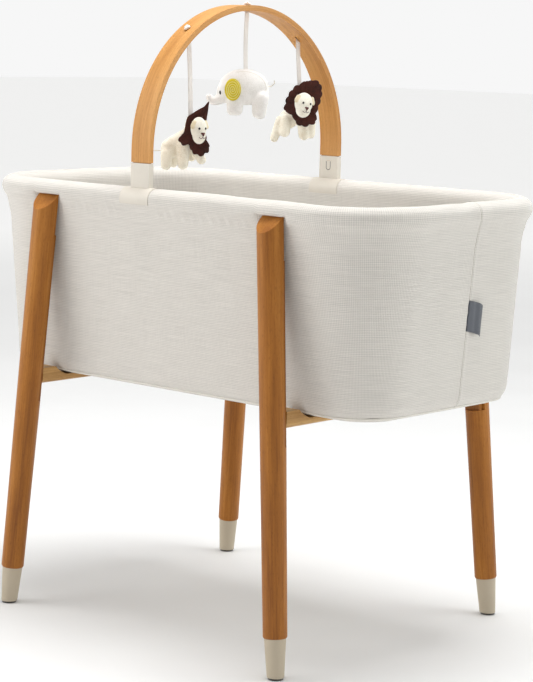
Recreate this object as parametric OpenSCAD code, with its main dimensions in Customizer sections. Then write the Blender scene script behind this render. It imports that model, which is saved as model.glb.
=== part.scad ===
// Moses basket: a fabric tub with a padded rim, lifted into a four-legged beech stand,
// with a bent-wood arch of hanging soft toys clipped across it.
// Origin on the floor under the middle of the basket. +X along its length, +Z up.
// The front long side faces -Y.

/* [Basket] */
// Length over the padded rim
rim_len = 880; // [820:10:900]
// Width over the padded rim
rim_wid = 490; // [480:1:492]
// Height of the rim's top above the floor
rim_top = 710; // [705:1:715]
// Thickness of the padded rim
rim_d = 34; // [32:1:35]
// Corner radius of the rim in plan, at its outside
rim_corner = 145; // [120:5:160]
// How far the rim stands out past the wall under it
rim_overhang = 13; // [12:0.5:14]
// Length of the bottom
base_len = 810; // [760:10:820]
// Width of the bottom
base_wid = 394; // [380:2:400]
// Corner radius of the bottom in plan
base_corner = 80; // [70:5:100]
// Radius of the round between wall and bottom
base_round = 28; // [24:1:32]
// Height of the underside above the floor
base_z = 385.5; // [384:0.5:387]

/* [Stand] */
// Distance between the feet along the basket
foot_span_x = 600; // [560:10:640]
// Distance between the feet across the basket
foot_span_y = 536; // [530:1:540]
// Distance between the leg tops along the basket
top_span_x = 487; // [470:1:500]
// Distance between the leg tops across the basket
top_span_y = 483; // [481:1:485]
// Height of the leg tops
leg_top = 690; // [688:0.5:690.5]
// Leg diameter at the top
leg_d_top = 43.5; // [42:0.5:44]
// Leg diameter at the foot
leg_d_foot = 36.5; // [34:0.5:38]
// Distance of the leg's flat from its axis
leg_flat = 5; // [4.5:0.5:5]
// Height of the pale foot caps
cap_h = 62; // [50:1:75]
// Width of a crossbar
bar_w = 32; // [28:1:36]

/* [Arch] */
// Where the arch stands along the basket
arch_x = -41; // [-100:1:100]
// Height of the arch's crown above the floor, to the middle of its strip
arch_top = 996; // [980:1:1010]
// Width of the bent strip
arch_w = 40; // [36:1:44]
// Thickness of the bent strip
arch_t = 9; // [8:0.5:10]

/* [Toys] */
// How far the toys are turned to face the long side and the head end, in degrees
toy_turn = 42; // [30:1:50]
// Width of the toy straps
strap_w = 10; // [8:1:11]

/* [Hidden] */
$fn = 48;

beech = "#b5763c";
pale_wood = "#d9a468";
plastic = "#e0d8cc";
cloth = "#e6e3dc";

// Gap between parts that move past each other, and between pieces that only touch
run_gap = 0.4;
touch_gap = 0.1;

rim_r = rim_d / 2;
rim_mid_z = rim_top - rim_r;
rim_mid_y = rim_wid / 2 - rim_r;
rim_mid_x = rim_len / 2 - rim_r;
rim_mid_corner = rim_corner - rim_r;
tube_r = 8;
cover_t = 0.9;
wall_top = rim_top - rim_d - 0.3;

foot_x = foot_span_x / 2;
foot_y = foot_span_y / 2;
lean_x = foot_x - top_span_x / 2;
lean_y = foot_y - top_span_y / 2;
leg_len = norm([lean_x, lean_y, leg_top]);
leg_turn = [-asin(lean_y / leg_len), atan(-lean_x / leg_top), 0];

step_z = 348;
batten_top = 625;
buffer_z = 666;
buffer_t = 5.5;
batten_t = 8;
batten_w = 30;
bar_bottom = 374;
bar_top = 400;
seat_z = base_z - 0.3;
seat_y = 212;
bar_mid_z = (bar_bottom + bar_top) / 2;
bar_x = foot_x - lean_x * bar_mid_z / leg_top;
bolt_d = 8;
nut_d = 12;
nut_y = leg_flat + batten_t + 22;
screw_d = 4;
screw_head_d = 8;
screw_zs = [440, 590];
tenon_d = 20;
tenon_end = 20;
glide_t = 3;
stretcher_w = 60;
dowel_d = 6;

arch_r = rim_mid_y;
arch_spring = arch_top - arch_r;
shoulder_z = 750.6;
socket_top = 749.6;
socket_wall = 2;
tenon_x = arch_w - 2 * socket_wall - 2 * run_gap;
tenon_y = arch_t + 1 - 2 * socket_wall - 2 * run_gap;
socket_floor = rim_top + 4;
saddle_len = 62;
saddle_t = 2;
saddle_low = rim_mid_z - 7;
tab_w = 9;
tab_top = 741.6;
tab_low = 726;

strap_t = 1.6;
strap_tops = [-129, 7, 135];
strap_feet = [-121, 7, 143];
strap_ends = [823, 897, 869];
strap_sewn = 3;
strap_gap = 1;
mane_y = [-7.9, -5.3];
body_y = [-5.2, 26];
head_r = 15;
head_y = mane_y[0] - touch_gap - head_r;

// ---- shared shapes ----

// Rectangle with round corners, by half length, half width and corner radius
module round_rect(hl, hw, r, steps = 6) {
  quads = [[1, 1, 0], [-1, 1, 90], [-1, -1, 180], [1, -1, 270]];
  polygon([for (q = quads) for (i = [0:steps])
    let (a = q[2] + 90 * i / steps)
    [q[0] * (hl - r) + r * cos(a), q[1] * (hw - r) + r * sin(a)]]);
}

// A closed ring of the child's 2-D section round a rounded rectangle (section x outwards, y up)
module ring(hl, hw, r, z) {
  translate([0, 0, z]) {
    for (q = [[1, 1, 0], [-1, 1, 90], [-1, -1, 180], [1, -1, 270]])
      translate([q[0] * (hl - r), q[1] * (hw - r), 0]) rotate([0, 0, q[2]])
        rotate_extrude(angle = 90) translate([r, 0]) children();
    for (m = [0, 1]) {
      mirror([0, m, 0]) translate([r - hl, hw, 0]) rotate([90, 0, 90])
        linear_extrude(2 * (hl - r)) children();
      mirror([m, 0, 0]) translate([hl, hw - r, 0]) rotate([90, 0, 0])
        linear_extrude(2 * (hw - r)) children();
    }
  }
}

function mix(a, b, k) = a + (b - a) * k;
function wall_k(z) = (z - base_z) / (wall_top - base_z);
function wall_hl(z) = mix(base_len / 2, rim_len / 2 - rim_overhang, wall_k(z));
function wall_hw(z) = mix(base_wid / 2, rim_wid / 2 - rim_overhang, wall_k(z));
function wall_corner(z) = mix(base_corner, rim_corner - rim_overhang, wall_k(z));

// A thin slice of the tub at height z, moved in from the outside of the wall
module slice(z, inset) {
  translate([0, 0, z - 0.05]) linear_extrude(0.1)
    round_rect(wall_hl(z) - inset, wall_hw(z) - inset, wall_corner(z) - inset);
}

// The tub as a solid, moved in from the outside of the wall all over
module tub(inset, top = wall_top) {
  r = base_round - inset;
  hull() {
    for (a = [0, 30, 60, 90])
      slice(base_z + base_round - r * cos(a), base_round - r * sin(a));
    slice(top, inset);
  }
}

// Puts children, drawn for the front right leg, at the leg on side sx, sy
module at_side(sx, sy) {
  mirror([sx < 0 ? 1 : 0, 0, 0]) mirror([0, sy > 0 ? 1 : 0, 0]) children();
}

// Frame of the front right leg: local Z is its axis from the foot up, +Y is the basket side
module leg_frame() {
  translate([foot_x, -foot_y, 0]) rotate(leg_turn) children();
}

// A cylinder along local Y between two distances from the leg's axis
module leg_pin(d, y0, y1, z) {
  translate([0, y0, z]) rotate([-90, 0, 0]) cylinder(d = d, h = y1 - y0);
}

// ---- stand ----

module batten_screw(grow = 0) {
  back = leg_flat + batten_t;
  for (z = screw_zs) {
    leg_pin(screw_d + grow, -4, back - 2, z);
    leg_pin(screw_head_d + grow, back - 3, back, z);
  }
}

module crossbar_bolt(grow = 0) {
  leg_pin(bolt_d + grow, -12, nut_y + nut_d / 2 + 3, bar_mid_z);
}

module foot_screw(grow = 0) {
  translate([0, 0, 9]) cylinder(d = screw_d + grow, h = 42);
  translate([0, 0, 9]) cylinder(d = screw_head_d + grow, h = 3);
}

module leg(sx, sy) {
  slope = (leg_d_top - leg_d_foot) / leg_len;
  color(beech) at_side(sx, sy) leg_frame() difference() {
    union() {
      translate([0, 0, cap_h + 2])
        cylinder(d1 = leg_d_foot + slope * cap_h, d2 = leg_d_top, h = leg_len - cap_h + 8);
      translate([0, 0, cap_h])
        cylinder(d1 = leg_d_foot - 1.5, d2 = leg_d_foot + slope * cap_h, h = 2);
      translate([0, 0, tenon_end]) cylinder(d = tenon_d, h = cap_h - tenon_end);
    }
    translate([-30, leg_flat, step_z]) cube([60, 30, leg_len]);
    translate([0, leg_flat, leg_len]) rotate([45, 0, 0])
      translate([-40, -80, 0]) cube([80, 160, 60]);
    batten_screw(touch_gap);
    crossbar_bolt(touch_gap);
    translate([0, 0, tenon_end - 1]) cylinder(d = screw_d + touch_gap, h = 33);
  }
}

module batten(sx, sy) {
  color(beech) at_side(sx, sy) leg_frame() difference() {
    translate([-batten_w / 2, leg_flat, step_z]) cube([batten_w, batten_t, batten_top - step_z]);
    batten_screw(touch_gap);
    crossbar_bolt(touch_gap);
  }
}

module foot_cap(sx, sy) {
  color("#b9ae9c") at_side(sx, sy) difference() {
    leg_frame() difference() {
      cylinder(d1 = 26, d2 = 33.5, h = cap_h);
      translate([0, 0, tenon_end - 0.5]) cylinder(d = tenon_d + 2 * touch_gap, h = cap_h);
      translate([0, 0, -1]) cylinder(d = screw_d + touch_gap, h = 30);
      translate([0, 0, -1]) cylinder(d = screw_head_d + touch_gap, h = 13);
    }
    translate([foot_x, -foot_y, glide_t - 20]) cube([60, 60, 40], center = true);
  }
}

module glide(sx, sy) {
  color("#3c3833") at_side(sx, sy) translate([foot_x, -foot_y, 0]) cylinder(d = 24, h = glide_t);
}

module buffer(sx, sy) {
  color("#1c1c1c") at_side(sx, sy) leg_frame()
    leg_pin(15, leg_flat, leg_flat + buffer_t, buffer_z);
}

// Bar section with round lower edges, x across, y up
module bar_section() {
  r = 8;
  for (x = [-1, 1]) translate([x * (bar_w / 2 - r), bar_bottom + r]) circle(r);
  translate([-bar_w / 2, bar_bottom + r]) square([bar_w, bar_top - bar_bottom - r]);
  translate([r - bar_w / 2, bar_bottom]) square([bar_w - 2 * r, 2 * r]);
}

module stretcher_dowel(sx, grow = 0) {
  for (y = [-1, 1])
    translate([sx * (bar_x - bar_w / 2 - 15), y * stretcher_w / 4, (bar_bottom + seat_z) / 2])
      rotate([0, sx * 90, 0]) cylinder(d = dowel_d + grow, h = 28 + grow);
}

// Side view of the seat that the basket lies in: flat, with hollow ends that rise to the bar's top
module seat_shape() {
  rise = [[26, 0], [20, 1.6], [12, 5.6], [5, 10.2], [0, 16]];
  polygon([for (s = [-1, 1]) for (i = [0:len(rise) - 1])
    let (p = rise[s < 0 ? i : len(rise) - 1 - i])
    [-s * (p[0] - seat_y), seat_z + p[1]]]);
}

module crossbar(sx) {
  nut_hole_top = bar_mid_z + 8;
  color(beech) difference() {
    translate([sx * bar_x, foot_y, 0]) rotate([90, 0, 0]) linear_extrude(2 * foot_y) bar_section();
    translate([sx * bar_x, 0, 0]) rotate([90, 0, 90])
      linear_extrude(bar_w + 10, center = true) seat_shape();
    for (sy = [-1, 1]) at_side(sx, sy) leg_frame() {
      translate([-40, leg_flat + batten_t - 80, bar_bottom - 30]) cube([80, 80, 100]);
      crossbar_bolt(touch_gap);
      translate([0, nut_y, bar_bottom - 20])
        cylinder(d = nut_d + touch_gap, h = nut_hole_top - bar_bottom + 20);
    }
    stretcher_dowel(sx, touch_gap);
  }
}

module stretcher() {
  length = 2 * (bar_x - bar_w / 2 - touch_gap);
  color(beech) difference() {
    translate([-length / 2, -stretcher_w / 2, bar_bottom])
      cube([length, stretcher_w, seat_z - bar_bottom]);
    for (sx = [-1, 1]) stretcher_dowel(sx, touch_gap);
  }
}

module each_leg() {
  for (sx = [-1, 1]) for (sy = [-1, 1]) at_side(sx, sy) leg_frame() children();
}

module batten_screws() { color("silver") each_leg() batten_screw(); }
module crossbar_bolts() { color("silver") each_leg() crossbar_bolt(); }
module foot_screws() { color("silver") each_leg() foot_screw(); }
module stretcher_dowels() { color(pale_wood) for (sx = [-1, 1]) stretcher_dowel(sx); }

module barrel_nuts() {
  color("silver") each_leg() difference() {
    translate([0, nut_y, bar_mid_z - 8]) cylinder(d = nut_d, h = 15.5);
    crossbar_bolt(touch_gap);
  }
}

// ---- basket ----

// Where the leg tops press into the padded rim
module leg_pockets() {
  pocket = [48, 30, 40];
  side_gap = 0.6;
  top_gap = 1.8;
  for (sx = [-1, 1]) for (sy = [-1, 1]) at_side(sx, sy)
    translate([top_span_x / 2 - pocket[0] / 2,
               leg_flat - top_span_y / 2 + side_gap - pocket[1],
               leg_top + top_gap - pocket[2]]) cube(pocket);
}

module rim_ring(outer, inner) {
  ring(rim_mid_x, rim_mid_y, rim_mid_corner, rim_mid_z) difference() {
    circle(outer);
    circle(inner);
  }
}

module rim_tube() { color("#8d8f92") rim_ring(tube_r, tube_r - 1.5); }

module rim_pad() {
  color("#f4f2ea") difference() {
    rim_ring(rim_r - cover_t - touch_gap, tube_r + touch_gap);
    leg_pockets();
  }
}

module rim_cover() {
  color(cloth) difference() {
    rim_ring(rim_r, rim_r - cover_t);
    leg_pockets();
  }
}

module outer_cover() {
  color(cloth) difference() {
    tub(0);
    tub(1.5, wall_top + 1);
  }
}

module wall_foam() {
  low = base_z + base_round + 2;
  color("#f4f2ea") difference() {
    tub(1.7);
    tub(7.8, wall_top + 1);
    translate([0, 0, low - 100]) cube([rim_len, rim_wid, 200], center = true);
  }
}

module inner_liner() {
  color("white") difference() {
    tub(8);
    tub(9.2, wall_top + 1);
  }
}

module base_board() {
  inset = base_round + 1;
  color("#c9a97c") translate([0, 0, base_z + 1.7]) linear_extrude(6)
    round_rect(base_len / 2 - inset, base_wid / 2 - inset, base_corner - inset, 8);
}

// Piping along the seam where the wall's cloth meets the bottom's
module bottom_piping() {
  side = 2.6;
  low = base_round - (base_round + side / 2 + touch_gap) * cos(45);
  z = base_z + low;
  color("#d6d2c8") ring(wall_hl(z) - low, wall_hw(z) - low, wall_corner(z) - low, z)
    rotate(45) square(side, center = true);
}

// Folded tag that hangs beside the seam of the right end wall
module care_tag() {
  lean = atan((wall_hl(wall_top) - wall_hl(base_z)) / (wall_top - base_z));
  z = 513;
  color("#55575c") translate([wall_hl(z) + 0.4, 13, z]) rotate([0, lean, 0])
    cube([1.6, 42, 48]);
}

module clip_tab_shape(grow = 0) {
  r = tab_w / 2 + grow;
  translate([0, tab_low + tab_w / 2]) circle(r);
  translate([-r, tab_low + tab_w / 2]) square([2 * r, tab_top - tab_low - tab_w / 2 + grow]);
}

// Clip for the rear side: a saddle over the rim with the arch's socket on it
module clip(sy) {
  socket_y = arch_t + 1;
  color(plastic) mirror([0, sy < 0 ? 1 : 0, 0]) translate([arch_x, rim_mid_y, 0]) difference() {
    union() {
      translate([-saddle_len / 2, 0, rim_mid_z]) rotate([0, 90, 0])
        cylinder(r = rim_r + saddle_t, h = saddle_len);
      translate([-arch_w / 2, -socket_y / 2, rim_mid_z])
        cube([arch_w, socket_y, socket_top - rim_mid_z]);
    }
    translate([-50, 0, rim_mid_z]) rotate([0, 90, 0]) cylinder(r = rim_r + 0.3, h = 100);
    translate([-50, -40, saddle_low - 40]) cube([100, 80, 40]);
    translate([-arch_w / 2 + socket_wall, -socket_y / 2 + socket_wall, socket_floor])
      cube([arch_w - 2 * socket_wall, socket_y - 2 * socket_wall, 60]);
    translate([0, -1, 0]) rotate([90, 0, 0]) linear_extrude(10) clip_tab_shape(run_gap);
  }
}

module release_tab(sy) {
  face = (arch_t + 1) / 2;
  color(plastic) mirror([0, sy < 0 ? 1 : 0, 0])
    translate([arch_x, rim_mid_y - face + socket_wall, 0]) rotate([90, 0, 0])
      linear_extrude(socket_wall) clip_tab_shape();
}

// ---- mattress ----

mattress_low = base_z + 10;
mattress_t = 45;
mattress_hl = 379;
mattress_hw = 171.5;
mattress_skin = 1.5;
mattress_corner = 62;

module mattress_block(inset) {
  translate([0, 0, mattress_low + inset]) linear_extrude(mattress_t - 2 * inset)
    round_rect(mattress_hl - inset, mattress_hw - inset, mattress_corner - inset, 8);
}

module mattress_core() { color("#f3e9c8") mattress_block(mattress_skin + touch_gap); }

module mattress_cover() {
  color("white") difference() {
    mattress_block(0);
    mattress_block(mattress_skin);
  }
}

// ---- arch ----

// Places children on the strip at the strap's place: local Z points out of the arch
module at_strap(y) {
  translate([arch_x, 0, arch_spring]) rotate([-asin(y / arch_r), 0, 0])
    translate([0, 0, arch_r]) children();
}

module arch() {
  color(pale_wood) difference() {
    translate([arch_x, 0, 0]) {
      translate([-arch_w / 2, 0, arch_spring]) rotate([90, 0, 90]) rotate_extrude(angle = 180)
        translate([arch_r - arch_t / 2, 0]) square([arch_t, arch_w]);
      for (sy = [-1, 1]) {
        translate([-arch_w / 2, sy * arch_r - arch_t / 2, shoulder_z])
          cube([arch_w, arch_t, arch_spring - shoulder_z]);
        translate([-tenon_x / 2, sy * arch_r - tenon_y / 2, socket_floor + 2])
          cube([tenon_x, tenon_y, shoulder_z - socket_floor]);
      }
    }
    for (y = strap_tops) at_strap(y) cube([strap_t + 1, strap_w + 1, 3 * arch_t], center = true);
  }
}

module strap_knots() {
  color("#efe9dd") for (y = strap_tops) at_strap(y) {
    translate([0, 0, arch_t / 2 + touch_gap]) cylinder(d = 11, h = 5);
    translate([0, 0, 0.5]) cube([strap_t, strap_w, arch_t + 1], center = true);
  }
}

// ---- toys ----

// Hanging stretch of a strap, from the inside of the arch down into its toy
module strap(i) {
  inside = arch_r - arch_t / 2 - strap_gap;
  rise = arch_spring + sqrt(pow(inside, 2) - pow(strap_tops[i], 2)) - strap_ends[i];
  slant = atan((strap_feet[i] - strap_tops[i]) / rise);
  color("#efe9dd") intersection() {
    translate([arch_x, strap_feet[i], strap_ends[i]]) rotate([slant, 0, 0])
      translate([-strap_t / 2, -strap_w / 2, -strap_sewn])
        cube([strap_t, strap_w, rise + 3 * strap_w]);
    translate([arch_x - 10, 0, arch_spring]) rotate([0, 90, 0]) cylinder(r = inside, h = 20);
  }
}

// Places children at the lower end of strap i: x along the toy's side, y away from its face
module at_toy(i) {
  translate([arch_x, strap_feet[i], strap_ends[i]]) rotate([0, 0, toy_turn]) children();
}

// Extrudes a side view (x along, y up) to the thickness between two depths
module felt(depths) {
  translate([0, depths[1], 0]) rotate([90, 0, 0]) linear_extrude(depths[1] - depths[0]) children();
}

function ellipse_points(c, rx, ry, n = 40) =
  [for (i = [0:n - 1]) [c[0] + rx * cos(360 * i / n), c[1] + ry * sin(360 * i / n)]];

module elephant_body() {
  color("#eeece8") at_toy(1) felt([-15, 15]) difference() {
    union() {
      translate([-1, -38]) circle(38);
      translate([-30, -80]) square([68, 44]);
      translate([-47, -56]) square([20, 13]);
      translate([-47, -43.5]) difference() {
        circle(12.5);
        circle(1);
        translate([0, -20]) square([20, 40]);
      }
    }
    translate([4, -62]) circle(8);
    translate([-4, -90]) square([16, 28]);
  }
}

module elephant_ears() {
  color("#e8c93a") at_toy(1) for (s = [[-17, -15.1], [15.1, 17]])
    felt(s) polygon(ellipse_points([-19, -31], 13, 17));
}

module elephant_tail() {
  color("#e9e6df") at_toy(1) translate([35.8, 0, -26]) rotate([0, 48, 0]) cylinder(d = 2, h = 15);
}

// Rounded limb of the side view, from a to b
module limb(a, b, r, steps = 8) {
  turn = atan2(b[1] - a[1], b[0] - a[0]);
  polygon([for (end = [[b, -90], [a, 90]]) for (i = [0:steps])
    let (t = turn + end[1] + 180 * i / steps)
    end[0] + r * [cos(t), sin(t)]]);
}

// Mane outline: an oval with a scalloped edge and one lock drawn out to a point
function mane_points(c, rx, ry, lock_at, lock, n = 88, scallops = 11) =
  [for (i = [0:n - 1])
    let (a = 360 * i / n,
         k = 1 + 0.22 * abs(sin(a * scallops / 2)) + lock * exp(-pow((a - lock_at) / 11, 2)))
    [c[0] + rx * k * cos(a), c[1] + ry * k * sin(a)]];

module lion_head(x, z) {
  translate([x, head_y, z]) sphere(head_r);
}

module lion_left_body() {
  color("#d8cdb8") at_toy(0) felt(body_y) {
    limb([-37, -42], [-2, -30], 15);
    limb([-2, -30], [0, -9], 9);
    limb([-43, -46], [-43, -75], 9);
    limb([-14, -46], [-11, -72], 8.5);
    limb([8, -50], [17, -66], 7.5);
  }
}
module lion_left_head() { color("#e6ddcc") at_toy(0) lion_head(13, -21); }
module lion_left_mane() {
  color("#3a1f16") at_toy(0) felt(mane_y)
    polygon(mane_points([7, -24], 16, 25, 64, 0.75));
}
module lion_left_tail() {
  color("#c9bca4") at_toy(0) translate([-52.2, 11, -54]) rotate([0, -80, 0]) cylinder(d = 2, h = 9);
}

module lion_right_body() {
  color("#d8cdb8") at_toy(2) felt(body_y) {
    limb([-25, -55], [2, -38], 15);
    limb([2, -38], [0, -9], 9);
    limb([-34, -60], [-39, -84], 8);
    limb([-20, -60], [-18, -80], 8);
    limb([5, -60], [8, -82], 8);
    limb([16, -56], [25, -80], 8);
  }
}
module lion_right_head() { color("#e6ddcc") at_toy(2) lion_head(10, -34); }
module lion_right_mane() {
  color("#3a1f16") at_toy(2) felt(mane_y)
    polygon(mane_points([4, -32], 23, 32, 95, 0.15));
}
module lion_right_tail() {
  color("#c9bca4") at_toy(2) translate([-39.6, 11, -50]) rotate([0, -60, 0]) cylinder(d = 2, h = 12);
}

leg(1, -1);  // leg_front_right
leg(-1, -1);  // leg_front_left
leg(1, 1);  // leg_rear_right
leg(-1, 1);  // leg_rear_left
batten(1, -1);  // batten_front_right
batten(-1, -1);  // batten_front_left
batten(1, 1);  // batten_rear_right
batten(-1, 1);  // batten_rear_left
foot_cap(1, -1);  // foot_cap_front_right
foot_cap(-1, -1);  // foot_cap_front_left
foot_cap(1, 1);  // foot_cap_rear_right
foot_cap(-1, 1);  // foot_cap_rear_left
glide(1, -1);  // glide_front_right
glide(-1, -1);  // glide_front_left
glide(1, 1);  // glide_rear_right
glide(-1, 1);  // glide_rear_left
buffer(1, -1);  // buffer_front_right
buffer(-1, -1);  // buffer_front_left
buffer(1, 1);  // buffer_rear_right
buffer(-1, 1);  // buffer_rear_left
crossbar(1);  // crossbar_right
crossbar(-1);  // crossbar_left
stretcher();
batten_screws();
crossbar_bolts();
barrel_nuts();
stretcher_dowels();
foot_screws();
rim_tube();
rim_pad();
rim_cover();
outer_cover();
wall_foam();
inner_liner();
base_board();
bottom_piping();
care_tag();
clip(-1);  // clip_front
clip(1);  // clip_rear
release_tab(-1);  // release_tab_front
release_tab(1);  // release_tab_rear
mattress_core();
mattress_cover();
arch();
strap_knots();
strap(0);  // strap_left
strap(1);  // strap_middle
strap(2);  // strap_right
elephant_body();
elephant_ears();
elephant_tail();
lion_left_body();
lion_left_head();
lion_left_mane();
lion_left_tail();
lion_right_body();
lion_right_head();
lion_right_mane();
lion_right_tail();
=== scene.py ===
import math
from contextlib import contextmanager

import bmesh
import bpy
import numpy as np
from mathutils import Matrix, Vector, noise
from mathutils.bvhtree import BVHTree


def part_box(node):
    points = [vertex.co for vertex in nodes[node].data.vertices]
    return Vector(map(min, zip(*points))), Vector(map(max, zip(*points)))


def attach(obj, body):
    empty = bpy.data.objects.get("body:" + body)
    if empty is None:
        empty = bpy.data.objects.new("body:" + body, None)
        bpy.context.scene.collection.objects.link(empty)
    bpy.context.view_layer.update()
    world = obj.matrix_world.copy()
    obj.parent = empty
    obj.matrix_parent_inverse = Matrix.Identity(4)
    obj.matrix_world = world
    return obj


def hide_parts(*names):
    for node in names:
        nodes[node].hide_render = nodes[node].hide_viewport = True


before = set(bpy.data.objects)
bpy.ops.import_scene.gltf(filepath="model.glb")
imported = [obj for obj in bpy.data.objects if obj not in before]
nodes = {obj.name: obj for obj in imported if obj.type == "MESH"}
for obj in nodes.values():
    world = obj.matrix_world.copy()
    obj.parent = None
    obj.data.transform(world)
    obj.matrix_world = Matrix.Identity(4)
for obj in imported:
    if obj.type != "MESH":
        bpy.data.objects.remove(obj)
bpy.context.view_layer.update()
scene = bpy.context.scene
SIDES = ["front_right", "front_left", "rear_right", "rear_left"]


def four(node):
    return [node + "_" + side for side in SIDES]



# ---- dimensions, metres
RIM_Z, RIM_HW = 0.693, 0.228
BASE_Z, BASE_ROUND = 0.3855, 0.028
BASE_HL, BASE_HW, BASE_CORNER = 0.405, 0.197, 0.080
WALL_TOP, TOP_HL, TOP_HW, TOP_CORNER = 0.6757, 0.427, 0.232, 0.132
MID_WALL_Z = 0.55  # where lengths round the cloth are measured
LEG_X, LEG_TOP = 0.2435, 0.690
LEG_SPLAY, LEG_LEAN = 0.082, 0.033  # sideways and outwards, per metre of height
CLOTH_T = 0.0012
ARCH_X, ARCH_R, ARCH_SPRING, ARCH_T = -0.041, 0.228, 0.768, 0.009
# y where each strap leaves the arch, y and height where it enters its toy
STRAPS = {"left": (-0.129, -0.121, 0.823), "middle": (0.007, 0.007, 0.897), "right": (0.135, 0.143, 0.869)}
STRAP_W, STRAP_T, STRAP_GAP = 0.010, 0.0013, 0.0010
STRAP_BOW = {"left": 0.0012, "middle": -0.0016, "right": -0.0010}
TOY_TURN = math.radians(42)


# ---- camera and light
def camera():
    azimuth, elevation, roll = (math.radians(a) for a in (41.74, 8.14, 1.45))
    target, distance = Vector((-0.0455, 0.0799, 0.4401)), 3.627
    level = math.cos(elevation)
    back = Vector((math.sin(azimuth) * level, -math.cos(azimuth) * level, math.sin(elevation)))
    right = Vector((math.cos(azimuth), math.sin(azimuth), 0))
    up = back.cross(right)
    rolled_right = right * math.cos(roll) + up * math.sin(roll)
    rolled_up = up * math.cos(roll) - right * math.sin(roll)
    data = bpy.data.cameras.new("camera")
    data.lens, data.sensor_width, data.clip_end = 113.03, 36, 100
    ob = bpy.data.objects.new("camera", data)
    scene.collection.objects.link(ob)
    place = Matrix((rolled_right, rolled_up, back)).transposed().to_4x4()
    place.translation = target + back * distance
    ob.matrix_world = place
    scene.camera = ob


def area_light(name, place, target, size, power, tint=(1, 1, 1)):
    data = bpy.data.lights.new(name, "AREA")
    data.shape, data.size, data.energy, data.color = "DISK", size, power, tint
    ob = bpy.data.objects.new(name, data)
    scene.collection.objects.link(ob)
    ob.location = place
    ob.rotation_euler = (Vector(target) - Vector(place)).to_track_quat("-Z", "Y").to_euler()


camera()
area_light("left", (-2.3, -2.5, 1.9), (0, 0, 0.55), 3.2, 58, (1, 0.99, 0.975))
area_light("right", (2.9, 2.1, 1.8), (0, 0, 0.55), 2.6, 40, (0.94, 0.985, 0.975))
area_light("top", (0.1, 0.2, 3.2), (0, 0, 0.6), 1.8, 80)


def sky():
    """Soft even sky, with a pale band at the horizon that runs into the floor."""
    world = bpy.data.worlds.new("studio")
    scene.world = world
    world.use_nodes = True
    t = world.node_tree
    split = t.nodes.new("ShaderNodeSeparateXYZ")
    ramp = t.nodes.new("ShaderNodeValToRGB")
    t.links.new(t.nodes.new("ShaderNodeTexCoord").outputs["Generated"], split.inputs[0])
    t.links.new(split.outputs[2], ramp.inputs[0])
    t.links.new(ramp.outputs[0], t.nodes["Background"].inputs["Color"])
    for e, at, k in zip(ramp.color_ramp.elements, (0.05, 0.16), (0.93, 0.46)):
        e.position = at
        e.color = (k, k, k, 1)


sky()
scene.view_settings.view_transform = "Standard"


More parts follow.
